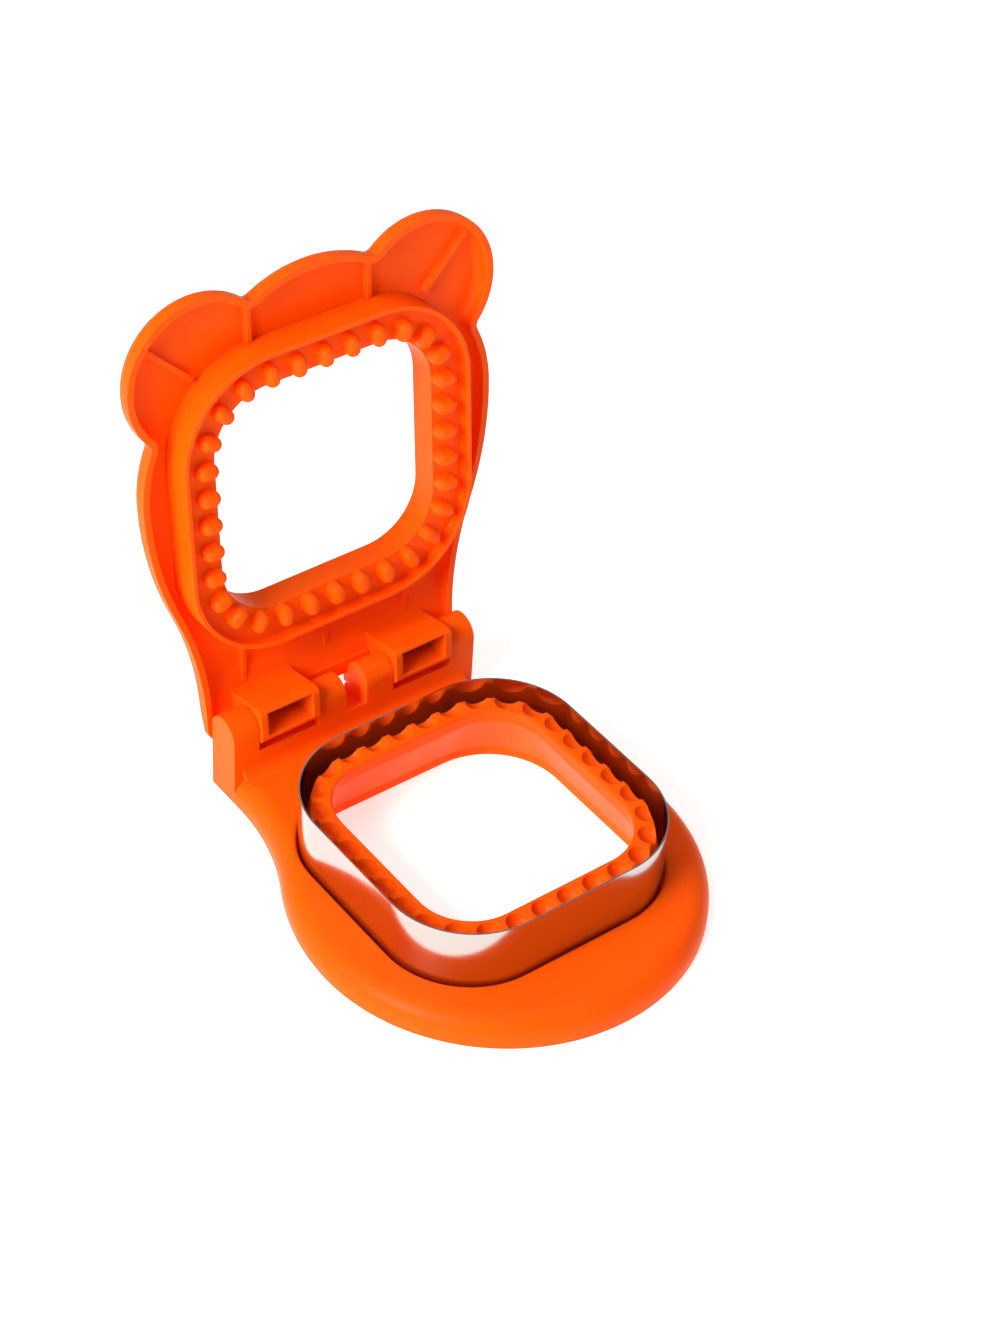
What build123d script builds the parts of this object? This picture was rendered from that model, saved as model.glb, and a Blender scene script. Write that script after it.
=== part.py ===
from build123d import *
import os
from math import cos, hypot, pi, radians, sin

# Sandwich cutter and sealer: a flat moulded base carries a steel cutting ring and a toothed
# crimp ring, and a lid in the shape of a round-eared head swings over them on two short pins.
# Millimetres. X runs along the hinge, -Y points to the front and Z up. The rings share one
# centre, and the lid is drawn closed over the base, then swung up to where it rests.

# Cutting ring, a thin steel band bent to a rounded square
BLADE_SIDE = 92.5
BLADE_CORNER = 27.4
BLADE_WALL = 0.5
BLADE_TOP = 29.0

# Crimp ring inside the band
CRIMP_TOP = 24.6
CRIMP_TOP_GAP = 3.3
CRIMP_FOOT_HEIGHT = 5.0
CRIMP_TOP_WIDTH = 6.2
CRIMP_FOOT_WIDTH = 2.2
CRIMP_FIT = 0.05
CRIMP_EDGE = 0.9
CRIMP_BEAD_HEIGHT = 4.6
CRIMP_BEAD_STEP = 0.35
SCOOP_COUNT = 32
SCOOP_RADIUS = 3.7
SCOOP_RISE = 0.5
SCOOP_PATH_INSET = 5.1

# Round head shared by base and lid
HEAD_RADIUS = 62.0
HEAD_CENTRE_Y = -9.3

# Base moulding
BASE_HEIGHT = 9.0
BASE_EDGE = 6.4
BASE_WALL = 2.2
BASE_NECK_Y = 61.0
FLANGE_HEIGHT = 3.0
LIP_GAP = 0.5
LIP_WALL = 2.4
LIP_EDGE = 1.2
BASE_RIB = 1.6
BASE_RIB_SETBACK = 0.8
BASE_RIB_ANGLES = (-10, -40, -65, -90, -115, -140, -170)

# Hinge
HINGE_Y = 70.6
HINGE_Z = 25.2
WALL_SETBACK = 6.6
LUG_RADIUS = 6.0
LUG_RISE = 4.6
MIDDLE_LUG_RADIUS = 5.2
MIDDLE_LUG_RISE = 3.3
SLOT_WIDTH = 7.6
MIDDLE_LUG = 9.9
KNUCKLE_WIDTH = 20.9
END_LUG = 9.0
SIDE_GAP = 0.3
PIN_RADIUS = 1.5
PIN_ENGAGE = 4.4
PIN_END_GAP = 0.3
BORE_CLEARANCE = 0.06
WALL_COVE = 4.0

# Knuckle boxes of the lid, measured from the hinge axis with the lid closed
KNUCKLE_DEPTH = 7.6
KNUCKLE_FRONT = 6.6
KNUCKLE_FRONT_ROOT = 4.9
KNUCKLE_BACK = 5.6
KNUCKLE_WALL = 2.4
KNUCKLE_FACE_WALL = 1.4
KNUCKLE_ROUND = 2.2
CRADLE_GAP = 0.3

# Lid moulding
LID_TOP = 38.6
LID_WALL = 2.2
LID_EDGE = 4.4
LID_INSET = 1.6
LID_NECK_HALF = 45.3
LID_FLANK_END = 70.4
CHEEK_INSET = 15.9
CHEEK_ARC = 45.0
FOREHEAD_INSET = 20.2
FOREHEAD_SETBACK = 1.8
EAR_RADIUS = 24.4
EAR_INSET_X = 24.0
EAR_INSET_Y = 24.9
NOTCH_ROUND = 2.5
TAIL_OVERHANG = 9.1
TAIL_CORNER = 5.0
TAIL_SLOPE_START = 58.6
TAIL_SLOPE_END = 74.0
TAIL_NOTCH_WIDTH = 10.4
TAIL_NOTCH_DEPTH = 4.2
OPEN_ANGLE = 95.4
STOP_GAP = 0.1
LID_RIB = 1.6
LID_RIB_SETBACK = 2.9
FOREHEAD_RIB_X = 20.4
EAR_RIB_SHIFT = 1.8
NECK_RIB_X = (0.0, 29.4)
NECK_RIB_Y = 68.0

# Press ring under the lid
PRESS_RIM_Z = 25.9
PRESS_WALL = 1.3
PRESS_CHANNEL_GAP = 1.9
PRESS_FLOOR_GAP = 0.5
PRESS_FLOOR = 2.0
WINDOW_HALF = 37.5
WINDOW_WALL = 2.0
SEAT_GAP = 0.05
BUMP_RADIUS = 2.3
BUMP_LENGTH = 2.2
BUMP_TIP_GAP = 0.4
BUMP_PATH_INSET = 5.0

# Sizes that follow from the ones above
BLADE_HALF = BLADE_SIDE / 2
LID_HALF = HEAD_RADIUS - LID_INSET
HEAD_FRONT = HEAD_CENTRE_Y - HEAD_RADIUS
LEAN = radians(OPEN_ANGLE - 90)
WALL_FRONT = HINGE_Y - WALL_SETBACK
WALL_MIDDLE = WALL_FRONT + LUG_RADIUS
BASE_BACK = WALL_MIDDLE + LUG_RADIUS
KNUCKLE_START = SLOT_WIDTH / 2 + MIDDLE_LUG + SIDE_GAP
KNUCKLE_END = KNUCKLE_START + KNUCKLE_WIDTH
END_LUG_START = KNUCKLE_END + SIDE_GAP
NECK_HALF = END_LUG_START + END_LUG
CRADLE_RADIUS = hypot(KNUCKLE_DEPTH, KNUCKLE_FRONT) + CRADLE_GAP
TAIL_DROP = (BASE_BACK - HINGE_Y + STOP_GAP + TAIL_OVERHANG * sin(LEAN)) / cos(LEAN)
LID_RIM = HINGE_Z + TAIL_DROP
TAIL_END = HINGE_Y + TAIL_OVERHANG
CHANNEL_HALF = BLADE_HALF + PRESS_CHANNEL_GAP
PRESS_HALF = CHANNEL_HALF + PRESS_WALL
PRESS_FLOOR_Z = BLADE_TOP + PRESS_FLOOR_GAP
BUMP_Z = CRIMP_TOP + BUMP_TIP_GAP + BUMP_RADIUS
EAR_X = HEAD_RADIUS - EAR_INSET_X
EAR_Y = HEAD_FRONT + EAR_INSET_Y
FOREHEAD_RADIUS = HEAD_RADIUS - FOREHEAD_INSET
CHEEK_RADIUS = LID_HALF - CHEEK_INSET
WINDOW_SEAT = WINDOW_HALF + WINDOW_WALL
ROOM = 200.0
NEAR = 0.01


def rounded_square(half, z):
    """A square concentric with the cutting ring, with corners that run parallel to it."""
    corner = BLADE_CORNER - (BLADE_HALF - half)
    return Pos(0, 0, z) * RectangleRounded(2 * half, 2 * half, corner)


def prism(half, low, high):
    return extrude(rounded_square(half, low), high - low)


def taper(low_half, high_half, low, high):
    return loft([rounded_square(low_half, low), rounded_square(high_half, high)])


def across(profile, start, end):
    """Extrude a drawn (y, z) profile along X from start to end."""
    return extrude(Pos(start, 0, 0) * (Plane.YZ * profile), end - start, dir=(1, 0, 0))


def both_sides(solid):
    return solid + mirror(solid, Plane.YZ)


def flank(half, start, neck, end):
    """S-shaped side of an outline: two equal arcs from its widest place to the straight neck."""
    middle = ((half + neck) / 2, (start + end) / 2)
    swell = TangentArc((half, start), middle, tangent=(0, 1))
    return [swell, TangentArc(middle, (neck, end), tangent=swell % 1)]


def closed_outline(right_edges):
    return make_face(right_edges + [mirror(edge, Plane.YZ) for edge in right_edges])


def stations(inset):
    """Places and headings spaced evenly round the ring, one on each side's middle."""
    half = BLADE_HALF - inset
    corner = BLADE_CORNER - (BLADE_HALF - half)
    straight = half - corner
    quarter = 2 * straight + corner * pi / 2
    step = 4 * quarter / SCOOP_COUNT
    places = []
    for index in range(SCOOP_COUNT):
        side, run = divmod(index * step, quarter)
        if run <= straight:
            x, y, heading = half, run, 0.0
        elif run < quarter - straight:
            turn = (run - straight) / corner
            x, y = straight + corner * cos(turn), straight + corner * sin(turn)
            heading = turn * 180 / pi
        else:
            x, y, heading = quarter - run, half, 90.0
        places.append(Rot(0, 0, 90 * side) * Pos(x, y, 0) * Rot(0, 0, heading))
    return places


def base_outline():
    start = HEAD_CENTRE_Y
    return closed_outline([
        RadiusArc((0, HEAD_FRONT), (HEAD_RADIUS, start), -HEAD_RADIUS),
        *flank(HEAD_RADIUS, start, NECK_HALF, BASE_NECK_Y),
        Line((NECK_HALF, BASE_NECK_Y), (NECK_HALF, BASE_BACK)),
        Line((NECK_HALF, BASE_BACK), (0, BASE_BACK)),
    ])


def lug(radius, rise, start, end):
    """One upright of the hinge, with its front in line with the wall and a round head."""
    y = WALL_FRONT + radius
    height = HINGE_Z + rise - radius
    foot = Pos(y, height / 2) * Rectangle(2 * radius, height)
    head = Pos(y, height) * Circle(radius)
    return across(foot + head, start, end)


def cradle(inset):
    """Cross-section of the wall between the lugs, hollowed clear of the turning knuckles."""
    block = Pos(WALL_MIDDLE, HINGE_Z / 2) * Rectangle(2 * (LUG_RADIUS - inset), HINGE_Z)
    return block - Pos(HINGE_Y, HINGE_Z) * Circle(CRADLE_RADIUS + inset)


def wall_cove():
    """Soft inside corner where the hinge wall rises from the base's top."""
    centre = Pos(WALL_FRONT - WALL_COVE / 2, BASE_HEIGHT + WALL_COVE / 2)
    corner = centre * Rectangle(WALL_COVE, WALL_COVE)
    round_off = Pos(WALL_FRONT - WALL_COVE, BASE_HEIGHT + WALL_COVE) * Circle(WALL_COVE)
    half = NECK_HALF - BASE_EDGE / 2
    return across(corner - round_off, -half, half)


def make_base_shell():
    outline = base_outline()
    outer = extrude(outline, BASE_HEIGHT)
    outer = fillet(outer.edges().group_by(Axis.Z)[-1], BASE_EDGE)
    hollow = extrude(offset(outline, -BASE_WALL), BASE_HEIGHT - BASE_WALL)
    hollow = fillet(hollow.edges().group_by(Axis.Z)[-1], BASE_EDGE - BASE_WALL)
    lip_half = BLADE_HALF + LIP_GAP
    rib_length = -HEAD_FRONT
    ribs = [
        Rot(0, 0, angle) * Pos(rib_length / 2, 0, BASE_HEIGHT / 2)
        * Box(rib_length, BASE_RIB, BASE_HEIGHT - 2 * BASE_RIB_SETBACK)
        for angle in BASE_RIB_ANGLES
    ]
    hollow -= ribs
    hollow -= prism(lip_half + LIP_WALL, 0, BASE_HEIGHT)
    shell = outer - hollow
    shell += across(cradle(0), -NECK_HALF, NECK_HALF)
    shell -= across(cradle(BASE_WALL), BASE_WALL - NECK_HALF, NECK_HALF - BASE_WALL)
    shell += wall_cove()
    inner = SLOT_WIDTH / 2
    shell += both_sides(lug(MIDDLE_LUG_RADIUS, MIDDLE_LUG_RISE, inner, inner + MIDDLE_LUG))
    shell += both_sides(lug(LUG_RADIUS, LUG_RISE, END_LUG_START, NECK_HALF))
    bore = Cylinder(PIN_RADIUS + BORE_CLEARANCE, pin_length() + 2 * PIN_END_GAP, rotation=(0, 90, 0))
    shell -= both_sides(Pos(pin_middle(), HINGE_Y, HINGE_Z) * bore)
    slot_depth = BASE_BACK - HINGE_Y
    slot = Box(SLOT_WIDTH, slot_depth, 2 * CRADLE_RADIUS)
    shell -= Pos(0, HINGE_Y + slot_depth / 2, HINGE_Z) * slot
    shell -= prism(lip_half, FLANGE_HEIGHT, ROOM)
    window = BLADE_HALF - BLADE_WALL - CRIMP_FIT - CRIMP_FOOT_WIDTH
    shell -= prism(window, 0, ROOM)
    lip = [e for e in shell.edges().filter_by_position(Axis.Z, BASE_HEIGHT, BASE_HEIGHT)
           if abs(e.center().X) <= lip_half and abs(e.center().Y) <= lip_half]
    return fillet(lip, LIP_EDGE)


def make_cutting_blade():
    return prism(BLADE_HALF, FLANGE_HEIGHT, BLADE_TOP) - prism(BLADE_HALF - BLADE_WALL, 0, ROOM)


def make_crimp_ring():
    foot_half = BLADE_HALF - BLADE_WALL - CRIMP_FIT
    top_half = BLADE_HALF - BLADE_WALL - CRIMP_TOP_GAP
    shoulder = FLANGE_HEIGHT + CRIMP_FOOT_HEIGHT
    ring = prism(foot_half, FLANGE_HEIGHT, shoulder) + taper(foot_half, top_half, shoulder, CRIMP_TOP)
    inner_half = top_half - CRIMP_TOP_WIDTH
    bead = CRIMP_TOP - CRIMP_BEAD_HEIGHT
    ring -= prism(inner_half, FLANGE_HEIGHT, CRIMP_TOP)
    ring -= taper(foot_half - CRIMP_FOOT_WIDTH, inner_half + CRIMP_BEAD_STEP, FLANGE_HEIGHT, bead)
    ring = fillet(ring.edges().group_by(Axis.Z)[-1], CRIMP_EDGE)
    scoop = Pos(0, 0, CRIMP_TOP + SCOOP_RISE) * Sphere(SCOOP_RADIUS)
    return ring - [place * scoop for place in stations(SCOOP_PATH_INSET)]


def head_outline(inset):
    """Round head on its neck, without the ears."""
    cheek_y = HEAD_CENTRE_Y
    half = LID_HALF - inset
    neck = LID_NECK_HALF - inset
    tail = TAIL_END - inset
    cheek_centre = (LID_HALF - CHEEK_RADIUS, cheek_y)
    cheek = CenterArc(cheek_centre, CHEEK_RADIUS - inset, -CHEEK_ARC, CHEEK_ARC)
    body = closed_outline([
        Line((0, (cheek @ 0).Y), cheek @ 0),
        cheek,
        *flank(half, cheek_y, neck, LID_FLANK_END),
        Line((neck, LID_FLANK_END), (neck, tail)),
        Line((neck, tail), (0, tail)),
    ])
    forehead = Circle(FOREHEAD_RADIUS - inset)
    return body + Pos(0, HEAD_FRONT + FOREHEAD_SETBACK + FOREHEAD_RADIUS) * forehead


def lid_outline(inset):
    """Round head with two plain round ears, narrowing to the hinge."""
    ear = Pos(EAR_X, EAR_Y) * Circle(EAR_RADIUS - inset)
    return head_outline(inset) + ear + mirror(ear, Plane.YZ)


def on_ear(place, inset):
    """Whether a place lies on the circle of an ear drawn in by inset."""
    reach = hypot(abs(place.X) - EAR_X, place.Y - EAR_Y)
    return abs(reach - EAR_RADIUS + inset) < NEAR


def roof_cut(depth):
    """Everything above the lid's top surface lowered by depth, where it slopes to the hinge."""
    tail_top = LID_RIM + LID_WALL
    profile = make_face(Polyline(
        (TAIL_SLOPE_START, LID_TOP - depth),
        (TAIL_SLOPE_END, tail_top - depth),
        (ROOM, tail_top - depth),
        (ROOM, ROOM),
        (-ROOM, ROOM),
        (-ROOM, LID_TOP - depth),
        close=True,
    ))
    return across(profile, -ROOM, ROOM)


def lid_block(inset):
    """The lid's outer form, or the same form drawn in by inset to hollow it."""
    block = extrude(Pos(0, 0, LID_RIM) * lid_outline(inset), LID_TOP - inset - LID_RIM)
    notches = [e for e in block.edges().filter_by(Axis.Z) if on_ear(e.center(), inset)]
    block = fillet(notches, NOTCH_ROUND + inset)
    block = fillet(block.edges().filter_by(Axis.Z).group_by(Axis.Y)[-1], TAIL_CORNER - inset)
    block = fillet(block.edges().group_by(Axis.Z)[-1], LID_EDGE - inset)
    return block - roof_cut(inset)


def knuckle_profile(inset, face_inset):
    """Side view of a knuckle box, from its open face up into the lid's roof."""
    low = HINGE_Z - KNUCKLE_DEPTH
    return make_face(Polyline(
        (HINGE_Y - KNUCKLE_FRONT + face_inset, low),
        (HINGE_Y + KNUCKLE_BACK - inset, low),
        (HINGE_Y + KNUCKLE_BACK - inset, LID_TOP),
        (HINGE_Y - KNUCKLE_FRONT_ROOT + face_inset, LID_TOP),
        (HINGE_Y - KNUCKLE_FRONT_ROOT + face_inset, LID_RIM),
        close=True,
    ))


def knuckle_box():
    outer = across(knuckle_profile(0, 0), KNUCKLE_START, KNUCKLE_END)
    face_edges = outer.edges().filter_by(Axis.X).group_by(Axis.Z)[0]
    outer = fillet(face_edges, KNUCKLE_ROUND)
    cavity = across(
        knuckle_profile(KNUCKLE_WALL, KNUCKLE_FACE_WALL),
        KNUCKLE_START + KNUCKLE_WALL,
        KNUCKLE_END - KNUCKLE_WALL,
    )
    return outer - roof_cut(LID_WALL / 2), cavity - roof_cut(LID_WALL)


def rib(start, end):
    """Upright web from one plan point to another, as deep as the lid's hollow."""
    (x0, y0), (x1, y1) = start, end
    length = hypot(x1 - x0, y1 - y0)
    height = LID_TOP - LID_RIM
    heading = Vector(x1 - x0, y1 - y0).get_signed_angle(Vector(1, 0), Vector(0, 0, -1))
    web = Box(length, LID_RIB, height)
    centre = Pos((x0 + x1) / 2, (y0 + y1) / 2, LID_RIM + LID_RIB_SETBACK + height / 2)
    return centre * Rot(0, 0, heading) * web


def lid_ribs():
    ear_x = EAR_X + EAR_RIB_SHIFT
    ear_y = EAR_Y + EAR_RIB_SHIFT
    webs = [rib((FOREHEAD_RIB_X, 0), (FOREHEAD_RIB_X, HEAD_FRONT))]
    webs.append(rib((ear_x, ear_y), (ear_x + EAR_RADIUS, ear_y - EAR_RADIUS)))
    webs += [rib((x, 0), (x, NECK_RIB_Y)) for x in NECK_RIB_X]
    return webs


def make_lid_shell():
    hollow = lid_block(LID_WALL)
    hollow -= Pos(0, HINGE_Y + ROOM / 2, LID_RIM) * Box(ROOM, ROOM, ROOM)
    webs = [both_sides(web) for web in lid_ribs()]
    hollow -= [web - prism(PRESS_HALF + SEAT_GAP, 0, ROOM) for web in webs]
    shell = lid_block(0) - hollow
    box, cavity = knuckle_box()
    shell += both_sides(box)
    shell -= both_sides(cavity)
    shell -= prism(WINDOW_SEAT + SEAT_GAP, 0, ROOM)
    tail_notch = Box(TAIL_NOTCH_WIDTH, 2 * TAIL_NOTCH_DEPTH, ROOM)
    shell -= Pos(0, TAIL_END, LID_RIM) * tail_notch
    bore = Cylinder(PIN_RADIUS, pin_length(), rotation=(0, 90, 0))
    return shell - both_sides(Pos(pin_middle(), HINGE_Y, HINGE_Z) * bore)


def make_press_ring():
    roof = LID_TOP - LID_WALL
    ring = prism(PRESS_HALF, PRESS_RIM_Z, roof) - prism(CHANNEL_HALF, 0, ROOM)
    ring += prism(CHANNEL_HALF, PRESS_FLOOR_Z, PRESS_FLOOR_Z + PRESS_FLOOR)
    ring += prism(WINDOW_SEAT, PRESS_FLOOR_Z, LID_TOP)
    ring -= prism(WINDOW_HALF, 0, ROOM)
    rounded = Cylinder(BUMP_RADIUS, BUMP_LENGTH, rotation=(0, 90, 0))
    ends = [Pos(side * BUMP_LENGTH / 2, 0, 0) * Sphere(BUMP_RADIUS) for side in (-1, 1)]
    foot = SlotCenterToCenter(BUMP_LENGTH, 2 * BUMP_RADIUS)
    post = extrude(foot, PRESS_FLOOR_Z + PRESS_FLOOR / 2 - BUMP_Z)
    bump = Pos(0, 0, BUMP_Z) * (post + rounded + ends)
    return ring + [place * bump for place in stations(BUMP_PATH_INSET)]


def pin_length():
    return KNUCKLE_WIDTH + 2 * SIDE_GAP + 2 * PIN_ENGAGE


def pin_middle():
    return (KNUCKLE_START + KNUCKLE_END) / 2


def hinge_pin(side):
    pin = Cylinder(PIN_RADIUS, pin_length(), rotation=(0, 90, 0))
    return Pos(side * pin_middle(), HINGE_Y, HINGE_Z) * pin


def swing_open(piece):
    return piece.rotate(Axis((0, HINGE_Y, HINGE_Z), (1, 0, 0)), -OPEN_ANGLE)


def make_parts():
    """All pieces at rest, with the middle of their common box at the origin's X and Y."""
    parts = {
        "base_shell": make_base_shell(),
        "cutting_blade": make_cutting_blade(),
        "crimp_ring": make_crimp_ring(),
        "lid_shell": swing_open(make_lid_shell()),
        "press_ring": swing_open(make_press_ring()),
        "hinge_pin_left": swing_open(hinge_pin(-1)),
        "hinge_pin_right": swing_open(hinge_pin(1)),
    }
    middle = Compound(list(parts.values())).bounding_box().center()
    print("ring centre y", -middle.Y, "hinge", HINGE_Y - middle.Y, HINGE_Z)
    return {name: Pos(0, -middle.Y, 0) * piece for name, piece in parts.items()}


os.makedirs("parts", exist_ok=True)
for name, piece in make_parts().items():
    export_step(piece, f"parts/{name}.step")
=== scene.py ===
# %% [markdown]
# # A hinged sandwich cutter and sealer
#
# The object is two glossy orange mouldings on a hinge. The lower one carries a thin steel band
# that cuts the bread, and a toothed ring inside it that presses the cut edge shut. The upper one
# is a lid with two round ears, and it stands open. In this lesson the shapes come ready made from
# the CAD model, so the work is all in the finish, the light and the camera.

# %% Load the solids that the CAD model packed
import math

import bpy
from mathutils import Matrix, Vector


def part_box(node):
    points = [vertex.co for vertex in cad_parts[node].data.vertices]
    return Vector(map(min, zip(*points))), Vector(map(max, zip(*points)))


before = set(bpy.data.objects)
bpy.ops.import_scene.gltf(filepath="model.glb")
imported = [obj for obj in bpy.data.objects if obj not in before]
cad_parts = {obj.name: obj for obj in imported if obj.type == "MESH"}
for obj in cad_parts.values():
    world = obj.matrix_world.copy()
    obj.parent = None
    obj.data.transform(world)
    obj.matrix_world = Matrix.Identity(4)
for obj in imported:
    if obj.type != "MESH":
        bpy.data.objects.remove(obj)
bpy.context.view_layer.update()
print("solids:", sorted(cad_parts))

# %% [markdown]
# ## Where the camera stands
#
# The picture was taken from the front left and from above, with the camera tipped a few degrees
# on its side and about nine tenths of a metre away. A camera can be placed by hand with a track
# constraint, but here it is turned by its own three axes, because the tilt is then exact. The
# point it is measured from is the middle of the cutting band, on the table.

# %% Place the camera
HEADING = math.radians(-39.52)
HEIGHT_ANGLE = math.radians(41.19)
TILT = math.radians(-3.96)
FROM_BAND = Vector((-0.4024, -0.4910, 0.6364))
FOCAL_PIXELS = 3031.3
PICTURE_HEIGHT = 1333

band_low, band_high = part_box("cutting_blade")
band_middle = (band_low + band_high) / 2
back = Vector((
    math.sin(HEADING) * math.cos(HEIGHT_ANGLE),
    -math.cos(HEADING) * math.cos(HEIGHT_ANGLE),
    math.sin(HEIGHT_ANGLE),
))
level = Vector((math.cos(HEADING), math.sin(HEADING), 0))
raised = back.cross(level)
across = math.cos(TILT) * level - math.sin(TILT) * raised
upward = math.sin(TILT) * level + math.cos(TILT) * raised

lens = bpy.data.cameras.new("studio_camera")
lens.sensor_width = 36
lens.lens = lens.sensor_width * FOCAL_PIXELS / PICTURE_HEIGHT
lens.clip_start = 0.01
camera = bpy.data.objects.new("studio_camera", lens)
bpy.context.scene.collection.objects.link(camera)
turn = Matrix((across, upward, back)).transposed().to_4x4()
camera.matrix_world = Matrix.Translation(
    Vector((band_middle.x, band_middle.y, 0)) + FROM_BAND
) @ turn
bpy.context.scene.camera = camera
print("lens in mm:", round(lens.lens, 2))

# %% [markdown]
# ## Two small tools for materials
#
# Colours are given as a screen shows them, as hex values that are brighter than the light they
# stand for, so one function turns them to the linear values that Cycles counts with. A second
# function adds a node with its settings and its links, so that every material below reads as a
# short list.

# %% Colour and node helpers
def linear(hex_colour):
    """The linear red, green, blue and alpha of a screen colour such as "#FD5C04"."""
    parts = [int(hex_colour[i:i + 2], 16) / 255 for i in (1, 3, 5)]
    turned = [p / 12.92 if p <= 0.04045 else ((p + 0.055) / 1.055) ** 2.4 for p in parts]
    return (*turned, 1.0)


def add(tree, kind, settings=None, sockets=None):
    """One node of a kind. A socket is named or numbered, and takes a value or another output."""
    made = tree.nodes.new("ShaderNode" + kind)
    for name, value in (settings or {}).items():
        setattr(made, name, value)
    for name, value in (sockets or {}).items():
        if isinstance(value, bpy.types.NodeSocket):
            tree.links.new(value, made.inputs[name])
        else:
            made.inputs[name].default_value = value
    return made


print("a grey of half brightness on screen, in linear light:", round(linear("#808080")[0], 3))

# %% [markdown]
# ## A material's own coordinates
#
# Every finish starts the same way: an empty material, and the coordinates of the piece it covers.
# Object coordinates are in metres and stay with the piece when it turns on its hinge. The sizes
# of patterns are easier to think of in millimetres, so one more function turns a size into the
# scale of a texture.

# %% Start a material, and scale its patterns
MM = 0.001


def new_material(name):
    """An empty material, its node tree and its piece's coordinates, in metres."""
    material = bpy.data.materials.new(name)
    material.use_nodes = True
    tree = material.node_tree
    tree.nodes.clear()
    place = add(tree, "TexCoord").outputs["Object"]
    return material, tree, place


def per_metre(millimetres):
    """The scale that makes a pattern repeat at this size, for coordinates in metres."""
    return 1 / (millimetres * MM)


def dress(nodes, material):
    """Give a finish to CAD nodes in place of the one they came with."""
    for node in nodes:
        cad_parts[node].data.materials.clear()
        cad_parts[node].data.materials.append(material)
    print(material.name, "on", ", ".join(nodes))


print("scale of a 10 mm pattern:", per_metre(10))

# %% [markdown]
# ## Injection-moulded ABS
#
# The orange parts are ABS, a hard glossy plastic that is coloured all through. It is pressed hot
# into a polished steel mould, which leaves three things to see: a shine that is sharp but not
# mirror-like, a surface that waves by a few hundredths of a millimetre where thick and thin walls
# cool at different speeds, and corners with a small radius that each catch a line of light.
#
# The corner radius could be modelled on every edge. The Bevel node gives the same line of light
# by turning the normal, and leaves the shape of the solids alone. Where the turned normal and the
# flat one part, there is an edge, so the same node also finds the edges that are painted paler:
# partly wear, partly a painted highlight along the edge.

# %% Round the corners of a moulding
CORNER_RADIUS = 0.45


def rounded_corners(tree, radius):
    """A normal that turns over every corner, and how much of an edge each place is."""
    rounded = add(tree, "Bevel", {"samples": 6}, {"Radius": radius * MM})
    flat = add(tree, "NewGeometry")
    turned = add(tree, "VectorMath", {"operation": "DOT_PRODUCT"}, {
        0: rounded.outputs["Normal"], 1: flat.outputs["Normal"],
    })
    # How much of an edge each place is: this sets how far the edge is painted paler, partly as
    # wear and partly as a painted highlight.
    edge = add(tree, "MapRange", {"interpolation_type": "SMOOTHSTEP"}, {
        "Value": turned.outputs["Value"], "From Min": 0.985, "From Max": 0.80,
        "To Min": 0.0, "To Max": 0.35,
    })
    return rounded.outputs["Normal"], edge.outputs["Result"]


print("corner radius in mm:", CORNER_RADIUS)

# %% [markdown]
# ## Colour that goes all through
#
# The pigment is mixed into the pellets, and it is never quite even, so two near oranges are mixed
# by a soft noise. Every edge is mixed towards a paler orange: partly wear, partly a painted
# highlight along the edge.

# %% Colour the plastic
ORANGE = "#FD5C04"
DEEP_ORANGE = "#FB5402"
# The paler orange of the edges is partly wear and partly a painted highlight.
WEAR_AND_HIGHLIGHT_ORANGE = "#FF8434"
PIGMENT_CLOUD = 22


def pigment_colour(tree, place, edge):
    """A pigment that is slightly uneven, and paler on every edge: partly wear, partly a painted
    highlight.
    """
    pigment = add(tree, "TexNoise", sockets={
        "Vector": place, "Scale": per_metre(PIGMENT_CLOUD), "Detail": 3.0, "Roughness": 0.55,
    })
    body = add(tree, "Mix", {"data_type": "RGBA"}, {
        "Factor": pigment.outputs["Fac"], 6: linear(DEEP_ORANGE), 7: linear(ORANGE),
    })
    # Edges are mixed towards the paler orange: partly wear, partly a painted highlight.
    wear_and_highlight = add(tree, "Mix", {"data_type": "RGBA"}, {
        "Factor": edge, 6: body.outputs[2], 7: linear(WEAR_AND_HIGHLIGHT_ORANGE),
    })
    return wear_and_highlight.outputs[2]


print("plain, deep and rubbed orange:", ORANGE, DEEP_ORANGE, WEAR_AND_HIGHLIGHT_ORANGE)

# %% [markdown]
# ## The skin that the mould leaves
#
# The flow marks of the melt are some 9 mm long and swell by about 0.02 mm. Mould polish leaves a
# grain of 0.1 mm, which would be finer than a pixel here, so it is drawn at 0.7 mm, the least that
# shows. Bump nodes are chained through their normals, the coarse one first.

# %% Press the skin of the mould into it
FLOW_MARK = 9
MOULD_GRAIN = 0.7


def moulded_skin(tree, place, normal):
    """The waves and the grain that the mould leaves, one on top of the other."""
    flow = add(tree, "TexNoise", sockets={
        "Vector": place, "Scale": per_metre(FLOW_MARK), "Detail": 1.0, "Roughness": 0.4,
    })
    swell = add(tree, "Bump", sockets={
        "Strength": 0.5, "Distance": 0.05 * MM, "Height": flow.outputs["Fac"],
        "Normal": normal,
    })
    grain = add(tree, "TexNoise", sockets={
        "Vector": place, "Scale": per_metre(MOULD_GRAIN), "Detail": 2.0, "Roughness": 0.6,
    })
    skin = add(tree, "Bump", sockets={
        "Strength": 0.35, "Distance": 0.01 * MM, "Height": grain.outputs["Fac"],
        "Normal": swell.outputs["Normal"],
    })
    return skin.outputs["Normal"]


print("flow marks and grain in mm:", FLOW_MARK, MOULD_GRAIN)

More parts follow.
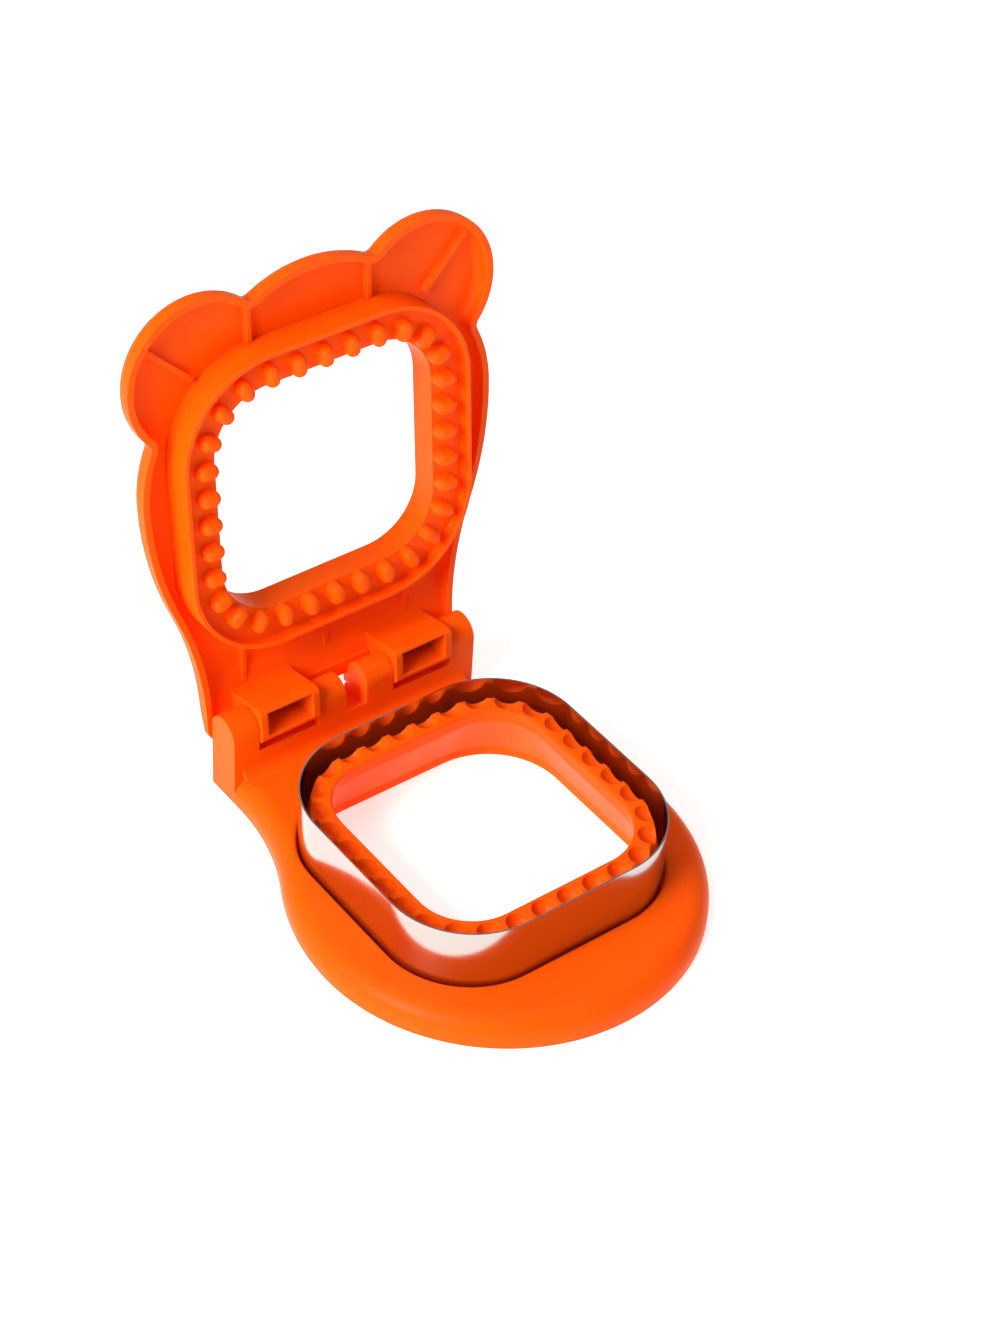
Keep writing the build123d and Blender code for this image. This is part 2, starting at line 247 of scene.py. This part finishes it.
# %% [markdown]
# ## The plastic as a whole
#
# The three helpers come together in one Principled shader. Hands leave the shine uneven, so the
# roughness varies over patches of some 14 mm. The specular level is set low, because the white
# table would otherwise wash the orange out to pink. Light goes about 3 mm into the plastic before
# it is scattered back, and red goes farthest, which is why thin edges and hollows look redder.

# %% Make the moulded plastic
HANDLED_PATCH = 14
SCATTER_DEPTH = 3.0


def moulded_abs(name):
    """ABS, coloured all through, pressed in a polished mould and handled a little."""
    material, tree, place = new_material(name)
    rounded, edge = rounded_corners(tree, CORNER_RADIUS)
    handled = add(tree, "TexNoise", sockets={
        "Vector": place, "Scale": per_metre(HANDLED_PATCH), "Detail": 4.0, "Roughness": 0.6,
    })
    shine = add(tree, "MapRange", sockets={
        "Value": handled.outputs["Fac"], "From Min": 0.3, "From Max": 0.7,
        "To Min": 0.34, "To Max": 0.46,
    })
    surface = add(tree, "BsdfPrincipled", {"subsurface_method": "RANDOM_WALK"}, {
        "Base Color": pigment_colour(tree, place, edge),
        "Roughness": shine.outputs["Result"], "Normal": moulded_skin(tree, place, rounded),
        "IOR": 1.54, "Specular IOR Level": 0.06,
        "Subsurface Weight": 0.5, "Subsurface Radius": (1.0, 0.22, 0.06),
        "Subsurface Scale": SCATTER_DEPTH * MM,
    })
    add(tree, "OutputMaterial", sockets={"Surface": surface.outputs["BSDF"]})
    return material


MOULDINGS = ("base_shell", "crimp_ring", "lid_shell", "press_ring")
dress(MOULDINGS, moulded_abs("orange_moulded_abs"))

# %% [markdown]
# ## Polished stainless steel
#
# The cutting band is a strip of stainless steel half a millimetre thick, rolled, polished and
# bent round. It is nearly a mirror, so most of what it shows is the orange base and the white
# table. Rolling and polishing ran along the strip, which leaves faint lines round the band. Lines
# round a band all lie at one height, so noise that is stretched level, and is fine only upwards,
# draws them on every side at once. On the strip they are 0.05 mm apart, and they are drawn 0.4 mm
# apart so that they show. Bending leaves long, shallow waves, which bend the reflections.

# %% Make the polished steel of the band
POLISH_LINE = (60, 60, 0.4)
BENDING_WAVE = 26


def polished_steel(name):
    """Rolled and polished strip: fine level lines on long, shallow waves."""
    material, tree, place = new_material(name)
    stretched = add(tree, "Mapping", sockets={
        "Vector": place, "Scale": [per_metre(length) for length in POLISH_LINE],
    })
    lines = add(tree, "TexNoise", sockets={
        "Vector": stretched.outputs["Vector"], "Scale": 1.0, "Detail": 3.0, "Roughness": 0.6,
    })
    waves = add(tree, "TexNoise", sockets={
        "Vector": place, "Scale": per_metre(BENDING_WAVE), "Detail": 1.0,
    })
    dull = add(tree, "MapRange", sockets={
        "Value": lines.outputs["Fac"], "From Min": 0.3, "From Max": 0.75,
        "To Min": 0.07, "To Max": 0.16,
    })
    dented = add(tree, "Bump", sockets={
        "Strength": 0.6, "Distance": 0.10 * MM, "Height": waves.outputs["Fac"],
    })
    lined = add(tree, "Bump", sockets={
        "Strength": 0.25, "Distance": 0.004 * MM, "Height": lines.outputs["Fac"],
        "Normal": dented.outputs["Normal"],
    })
    surface = add(tree, "BsdfPrincipled", sockets={
        "Base Color": linear("#BBB3AE"), "Metallic": 1.0,
        "Roughness": dull.outputs["Result"], "Normal": lined.outputs["Normal"],
    })
    add(tree, "OutputMaterial", sockets={"Surface": surface.outputs["BSDF"]})
    return material


dress(("cutting_blade",), polished_steel("polished_stainless_strip"))

# %% [markdown]
# ## Drawn steel wire
#
# The hinge pins are cut from wire that was pulled through a die. The die draws fine lines along
# the wire, so this noise is stretched along the pin, which lies left to right.

# %% Make the wire of the hinge pins
DIE_LINE = (12, 0.25, 0.25)


def drawn_wire(name):
    """Wire with lines along it, duller than the band."""
    material, tree, place = new_material(name)
    stretched = add(tree, "Mapping", sockets={
        "Vector": place, "Scale": [per_metre(length) for length in DIE_LINE],
    })
    lines = add(tree, "TexNoise", sockets={
        "Vector": stretched.outputs["Vector"], "Scale": 1.0, "Detail": 2.0,
    })
    dull = add(tree, "MapRange", sockets={
        "Value": lines.outputs["Fac"], "To Min": 0.22, "To Max": 0.42,
    })
    lined = add(tree, "Bump", sockets={
        "Strength": 0.4, "Distance": 0.01 * MM, "Height": lines.outputs["Fac"],
    })
    surface = add(tree, "BsdfPrincipled", sockets={
        "Base Color": linear("#B9B6B1"), "Metallic": 1.0,
        "Roughness": dull.outputs["Result"], "Normal": lined.outputs["Normal"],
    })
    add(tree, "OutputMaterial", sockets={"Surface": surface.outputs["BSDF"]})
    return material


dress(("hinge_pin_left", "hinge_pin_right"), drawn_wire("drawn_steel_wire"))

# %% [markdown]
# ## The table
#
# The picture is a product shot, cut out on pure white with hardly a shadow. A card that glows a
# little by itself gives that: it stays white under the object, fills the shadows from below, and
# is bright enough to show as white in the dark steel.

# %% Lay the table
PAPER_FIBRE = 3
CARD_GLOW = 0.6

bpy.ops.object.select_all(action="DESELECT")
bpy.ops.mesh.primitive_plane_add(size=6, location=(0, 0, 0))
table = bpy.context.object
table.name = "pale_table"
matt, tree, place = new_material("matt_white_card")
fibre = add(tree, "TexNoise", sockets={
    "Vector": place, "Scale": per_metre(PAPER_FIBRE), "Detail": 2.0,
})
paper = add(tree, "Mix", {"data_type": "RGBA"}, {
    "Factor": fibre.outputs["Fac"], 6: linear("#F6F6F5"), 7: linear("#FBFBFA"),
})
card = add(tree, "BsdfPrincipled", sockets={
    "Base Color": paper.outputs[2], "Roughness": 0.9,
    "Emission Color": paper.outputs[2], "Emission Strength": CARD_GLOW,
})
add(tree, "OutputMaterial", sockets={"Surface": card.outputs["BSDF"]})
table.data.materials.append(matt)
print("table:", matt.name)

# %% [markdown]
# ## Two soft lights
#
# One soft box at the left does most of the work: it makes the left faces of the hinge and of the
# rings the brightest, and leaves the neck of the lid darker. A weaker one overhead lifts the top
# of the base.

# %% Hang the lights
def soft_light(name, where, aim, size, watts):
    """A square soft box at one point that faces another."""
    lamp = bpy.data.lights.new(name, "AREA")
    lamp.size = size
    lamp.energy = watts
    box = bpy.data.objects.new(name, lamp)
    bpy.context.scene.collection.objects.link(box)
    box.location = where
    box.rotation_euler = (Vector(aim) - Vector(where)).to_track_quat("-Z", "Y").to_euler()
    print(name, "watts:", watts)


MIDDLE = (0, 0, 0.06)
soft_light("key_light", (-1.0, -0.15, 0.75), MIDDLE, 0.6, 20)
soft_light("top_light", (0.1, 0.3, 1.3), MIDDLE, 0.9, 3)

# %% [markdown]
# ## A white room, and enough bounces
#
# The room's white fills in from all sides. Light that reaches the hollows of the hinge has bounced
# many times off the orange, and grows redder each time, so Cycles is allowed more bounces than it
# makes by itself. The Standard view keeps the orange as strong as it is on a screen.

# %% Paint the room
room = bpy.data.worlds.new("white_room")
room.use_nodes = True
walls = room.node_tree.nodes["Background"]
walls.inputs["Color"].default_value = linear("#FFFFFF")
walls.inputs["Strength"].default_value = 0.32
scene = bpy.context.scene
scene.world = room
scene.view_settings.view_transform = "Standard"
scene.cycles.max_bounces = 16
scene.cycles.diffuse_bounces = 12
print("bounces:", scene.cycles.diffuse_bounces, "diffuse of", scene.cycles.max_bounces)
